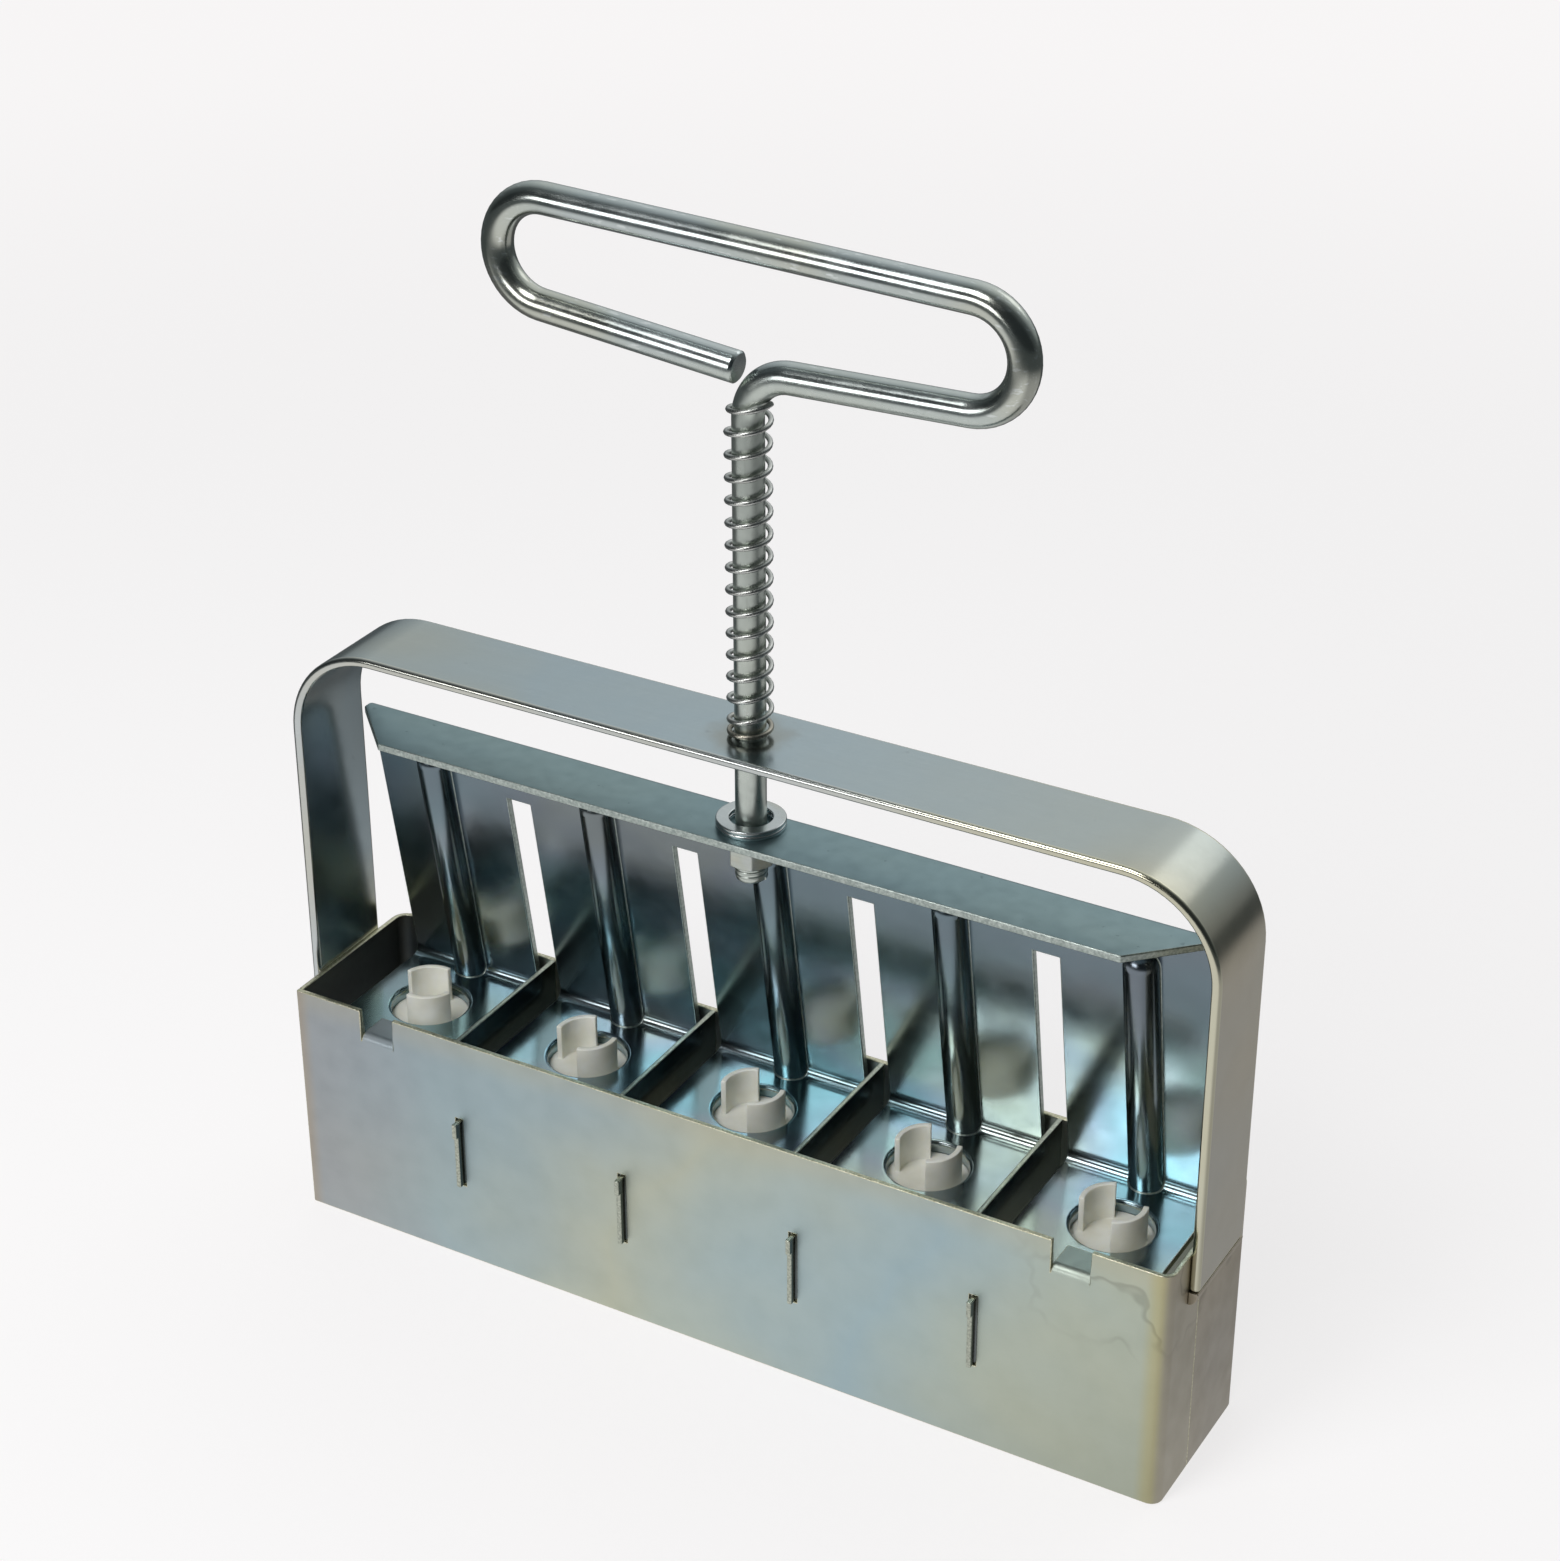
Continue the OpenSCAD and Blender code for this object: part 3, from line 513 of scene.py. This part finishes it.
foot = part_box("handle_rod")[0].z
rounded = 0.35  # how far each end's narrower ring lies from the first full one
cut_end = lean_over(cut_x, low_bar_z - cut_x * math.tan(slope))
last_turn = turn_round(lean_over(-grip_end.x, grip_end.y), end_r, 90 - lean_deg,
                       270 - sag - lean_deg)
line = [Vector((0, foot / MM)), Vector((0, foot / MM + rounded))]
line += turn_round(rod_bend, bend_r, 180, 90 + sag - lean_deg)
line += turn_round(lean_over(*grip_end), end_r, -90 + sag - lean_deg, 90 - lean_deg)
line += last_turn
line += [cut_end + (last_turn[-1] - cut_end).normalized() * rounded, cut_end]

# A straight bar gets a ring close to each end, which keeps its shading straight.
bar_from, ring_off = 3, 0.5
spaced = [line[0]]
for a, b in zip(line, line[1:]):
    if (b - a).length > bar_from:
        spaced += [a + (b - a).normalized() * ring_off, b - (b - a).normalized() * ring_off]
    spaced.append(b)
path = bpy.data.meshes.new("rod_path")
path.from_pydata([(p.x * MM, 0, p.y * MM) for p in spaced],
                 [(i, i + 1) for i in range(len(spaced) - 1)], [])
rod = made_by(bent_bar, "handle_rod_finished", path, radius=rod_r * MM, end_share=0.86, sides=48,
              material=rod_film)
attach(rod, frame["nodes"]["handle_rod"]["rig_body"])
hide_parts("handle_rod")


# ------------------------------------------------------------------ washers and nut
# Plain plated washers and a hex nut. Barrel-plated small parts keep a bright, finely dented skin
# and rounded punched edges; the nut is duller than the washers.

washer_film = zinc_sheet("zinc_washer", "#c9cfd0", "#cbc8ba", "#c4c8c4", roughness=0.20,
                         spread=0.08, cloud_mm=12, grain=0.08, speck=0.08, seed=15.2)
for name in ("washer_upper", "washer_lower", "lock_washer"):
    softened(name, 0.3, washer_film, segments=4)
nut_film = zinc_sheet("zinc_nut", "#d3d8d4", "#d6d5c6", "#cfd4cb", roughness=0.40, spread=0.10,
                      cloud_mm=6, grain=0.15, speck=0.08, seed=17.5)
softened("lock_nut", 0.2, nut_film)


# ------------------------------------------------------------------ return spring and thread
# One compression spring of 1 mm steel wire round the rod, between the strap and the rod's bend,
# its bright drawn wire rubbed brown where it stands on the strap. One tree winds it and the last
# turns of the rod's thread, because both are a round bar wound round the rod.

# The wire's drawing marks are finer than 0.1 mm, and are drawn 0.3 mm wide so that they show.
spring_wire = bare("spring_wire")
skin = clouds(spring_wire.node_tree, 0.3)
spring_tone = add(spring_wire.node_tree, "ShaderNodeValToRGB", clouds(spring_wire.node_tree, 6),
                  stops=((0.3, "#bcbdb9"), (0.7, "#d2d3cf")))
spring_tone = tinted(spring_wire.node_tree, spring_tone, "#9b9079",
                     past(spring_wire.node_tree, "Z", 0.1345, 0.1312), 0.6)
spring_worn = add(spring_wire.node_tree, "ShaderNodeValToRGB", skin,
                  stops=((0.3, 0.24), (0.7, 0.36)))
finished(spring_wire, skin, 0.008, Base_Color=spring_tone, Metallic=1.0, Roughness=spring_worn)

# The tree winds a bar round Z. Its first turn rises by a share of the pitch, as the closed end of
# a spring does. From a given turn on the coil is pushed over to +X, by the square of the turns.
wound = new_shape("wound_wire", Int=["Points", "Points per turn", "Sides"],
                  Float=["Start angle", "Foot", "Pitch", "Coil radius", "Radius", "First turn",
                         "Lean from", "Lean"], Material=["Material"])
size = add(wound, "NodeGroupInput").node.outputs
turn = add(wound, "ShaderNodeMath", add(wound, "GeometryNodeInputIndex"),
           size["Points per turn"], operation="DIVIDE")
angle = add(wound, "ShaderNodeMath", turn, 2 * math.pi, operation="MULTIPLY")
angle = add(wound, "ShaderNodeMath", angle, size["Start angle"], operation="ADD")
after = add(wound, "ShaderNodeMath", turn, 1.0, operation="SUBTRACT")
after = add(wound, "ShaderNodeMath", after, 0.0, operation="MAXIMUM")
full = add(wound, "ShaderNodeMath", 1.0, size["First turn"], operation="SUBTRACT")
full = add(wound, "ShaderNodeMath", after, full, operation="MULTIPLY")
slow = add(wound, "ShaderNodeMath", turn, size["First turn"], operation="MULTIPLY")
rise = add(wound, "ShaderNodeMath", slow, full, operation="ADD")
rise = add(wound, "ShaderNodeMath", rise, size["Pitch"], operation="MULTIPLY")
leant = add(wound, "ShaderNodeMath", turn, size["Lean from"], operation="SUBTRACT")
leant = add(wound, "ShaderNodeMath", leant, 0.0, operation="MAXIMUM")
leant = add(wound, "ShaderNodeMath", leant, leant, operation="MULTIPLY")
leant = add(wound, "ShaderNodeMath", leant, size["Lean"], operation="MULTIPLY")
across = add(wound, "ShaderNodeMath", angle, operation="COSINE")
across = add(wound, "ShaderNodeMath", across, size["Coil radius"], operation="MULTIPLY")
deep = add(wound, "ShaderNodeMath", angle, operation="SINE")
spot = add(wound, "ShaderNodeCombineXYZ",
           add(wound, "ShaderNodeMath", across, leant, operation="ADD"),
           add(wound, "ShaderNodeMath", deep, size["Coil radius"], operation="MULTIPLY"),
           add(wound, "ShaderNodeMath", size["Foot"], rise, operation="ADD"))
straight = add(wound, "GeometryNodeResampleCurve", add(wound, "GeometryNodeCurvePrimitiveLine"),
               Count=size["Points"])
end_as_bar(wound, add(wound, "GeometryNodeSetPosition", straight, Position=spot), size)

low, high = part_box("return_spring")
turns, wire, first, per_turn = 15.75, 1.0 * MM, 0.3, 24
taller, closer, lean_turns = 1.6 * MM, 0.75 * MM, 1.6  # against the solid, and the turns that lean
z_low, z_high = low.z + wire / 2, high.z - wire / 2 + taller
spring = made_by(wound, "spring_coil", bpy.data.meshes.new("spring_seat"),
                 points=int(turns * per_turn) + 1, points_per_turn=per_turn, sides=12,
                 start_angle=-2 * math.pi * (turns % 1), foot=z_low,
                 pitch=(z_high - z_low) / (turns + first - 1),
                 coil_radius=(high.x - low.x) / 2 - closer, radius=wire / 2, first_turn=first,
                 lean_from=turns - lean_turns, lean=0.35 * MM, material=spring_wire)
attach(spring, "casing")
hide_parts("return_spring")
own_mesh(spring)  # the flat turns clear the bend

# The rod's foot carries a rolled M6 thread of 1 mm pitch, whose last turns show below the nut.
nut_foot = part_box("lock_nut")[0].z
thread_pitch, ridge, root = 1.0 * MM, 0.36 * MM, 2.84 * MM
thread_turns = (nut_foot - foot) / thread_pitch - 0.5
thread = made_by(wound, "rod_thread", bpy.data.meshes.new("thread_seat"),
                 points=int(thread_turns * per_turn) + 1, points_per_turn=per_turn, sides=8,
                 start_angle=0.0, foot=foot + thread_pitch / 2, pitch=thread_pitch,
                 coil_radius=root, radius=ridge, first_turn=1.0, lean_from=thread_turns,
                 lean=0.0, material=rod_film)
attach(thread, frame["nodes"]["handle_rod"]["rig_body"])


# ------------------------------------------------------------------ floor, light and camera
# A plain pale floor that runs out into a pale backdrop. Four soft boxes light the object: a low
# and a high one before it on the left, a weak one behind it on the right, and a fill above it that
# no metal mirrors.

pale = srgb("#f5f3f3")

# Reflections don't see the floor and backdrop as the camera does. They see painted tones of a
# darker, uneven studio: brighter in front on the left, dimmer behind on the right, a painted
# shadow behind on the left, and darker far out.
floor_paint = bare("studio_floor")
tree = floor_paint.node_tree
place = add(tree, "ShaderNodeTexCoord", out="Object")
across, deep, _ = add(tree, "ShaderNodeSeparateXYZ", place).node.outputs
away = add(tree, "ShaderNodeVectorMath", place, operation="LENGTH")
ray = add(tree, "ShaderNodeLightPath").node.outputs
toward_rear = add(tree, "ShaderNodeMath", across, deep, operation="ADD")
toward_rear = add(tree, "ShaderNodeMapRange", toward_rear, -0.05, 0.20,
                  interpolation_type="SMOOTHSTEP")
mirrored = add(tree, "ShaderNodeValToRGB", toward_rear, stops=((0.0, 0.80), (1.0, 0.42)))
# A painted shadow behind on the left, seen only in reflections.
painted_shadow_behind_left = add(tree, "ShaderNodeMath", deep, across, operation="SUBTRACT")
painted_shadow_behind_left = add(tree, "ShaderNodeMapRange", painted_shadow_behind_left, 0.09, 0.20,
                  interpolation_type="SMOOTHSTEP")
mirrored = tinted(tree, mirrored, "#161b1c", painted_shadow_behind_left, 0.85)
out_of_light = add(tree, "ShaderNodeMapRange", away, 0.30, 0.66, interpolation_type="SMOOTHSTEP")
mirrored = tinted(tree, mirrored, "#43494b", out_of_light)
glow = add(tree, "ShaderNodeMix", ray["Is Glossy Ray"], pale, mirrored, data_type="RGBA")

# To the camera the floor's own light and what the lamps throw on it add up to the pale tone. With
# distance the lamps' part goes and the floor's own makes it up, so that no horizon shows.
far = add(tree, "ShaderNodeMapRange", away, 0.35, 0.95, interpolation_type="SMOOTHSTEP")
shown = add(tree, "ShaderNodeMath", far, 0.20, operation="MULTIPLY")
shown = add(tree, "ShaderNodeMath", shown, 0.80, operation="ADD")
shown = add(tree, "ShaderNodeMath", ray["Is Camera Ray"], shown, operation="MULTIPLY")
strength = add(tree, "ShaderNodeMath", shown, ray["Is Glossy Ray"], operation="MAXIMUM")
unlit = add(tree, "ShaderNodeMath", ray["Is Glossy Ray"], far, operation="MAXIMUM")
tone = add(tree, "ShaderNodeMix", unlit, srgb("#8c8c8c"), srgb("#000000"), data_type="RGBA")
add(tree, "ShaderNodeOutputMaterial",
    add(tree, "ShaderNodeBsdfPrincipled", Base_Color=tone, Roughness=0.9, Emission_Color=glow,
        Emission_Strength=strength))

half_floor, below_rim = 20, 0.2 * MM
corners = [(x * half_floor, y * half_floor, 0) for x, y in ((-1, -1), (1, -1), (1, 1), (-1, 1))]
mesh = bpy.data.meshes.new("studio_floor")
mesh.from_pydata(corners, [], [(0, 1, 2, 3)])
mesh.materials.append(floor_paint)
floor = bpy.data.objects.new("studio_floor", mesh)
bpy.context.scene.collection.objects.link(floor)
floor.location.z = -below_rim

# The world lights the object from behind and above, and the camera sees it plain and pale.
world = bpy.data.worlds.new("studio")
bpy.context.scene.world = world
world.use_nodes = True
tree = world.node_tree
tree.nodes.clear()
way = add(tree, "ShaderNodeTexCoord", out="Generated")
toward = add(tree, "ShaderNodeVectorMath", way, (-0.10, 0.77, 0.63), operation="DOT_PRODUCT")
room = add(tree, "ShaderNodeValToRGB", toward,
           stops=((0.0, "#2b3032"), (0.45, "#565c5e"), (0.8, "#b6bcbe"), (1.0, "#e9ecec")))
add(tree, "ShaderNodeOutputWorld",
    add(tree, "ShaderNodeMixShader", add(tree, "ShaderNodeLightPath", out="Is Camera Ray"),
        add(tree, "ShaderNodeBackground", room, 1.0),
        add(tree, "ShaderNodeBackground", pale, 1.0)))


def soft_box(name, at, look_at, width, height, watts, mirrored=True):
    """A soft box of a width and height in metres, facing a point of the object."""
    light = bpy.data.lights.new(name, "AREA")
    light.shape = "RECTANGLE"
    light.size, light.size_y = width, height
    light.energy = watts
    lamp = bpy.data.objects.new(name, light)
    lamp.location = at
    lamp.rotation_euler = (Vector(look_at) - Vector(at)).to_track_quat("-Z", "Y").to_euler()
    lamp.visible_glossy = mirrored
    bpy.context.scene.collection.objects.link(lamp)


soft_box("low_box", (-0.42, -1.15, 0.40), (0, 0, 0.06), 0.7, 0.32, 3.2)
soft_box("high_box", (-0.16, -0.52, 0.90), (0.06, 0, 0.05), 0.34, 0.30, 2.6)
soft_box("rear_box", (0.32, 0.84, 0.81), (0.05, 0, 0.1), 0.5, 0.5, 0.5)
soft_box("fill_box", (0.02, -0.80, 0.78), (0, 0, 0.05), 0.6, 0.6, 4.5, mirrored=False)

# The camera's place, turn and focal length were solved from the photograph's corners.
focal_px, photo_px, sensor_mm = 3259.65, 1560, 36
camera = bpy.data.cameras.new("photo_view")
camera.sensor_fit = "HORIZONTAL"
camera.sensor_width = sensor_mm
camera.lens = focal_px * sensor_mm / photo_px
camera.clip_start = 0.01
viewer = bpy.data.objects.new("photo_view", camera)
viewer.location = (0.27162, -0.46057, 0.41259)
viewer.rotation_euler = [math.radians(a) for a in (61.2985, 0.1378, 29.8696)]
bpy.context.scene.collection.objects.link(viewer)
bpy.context.scene.camera = viewer
bpy.context.scene.view_settings.view_transform = "Standard"
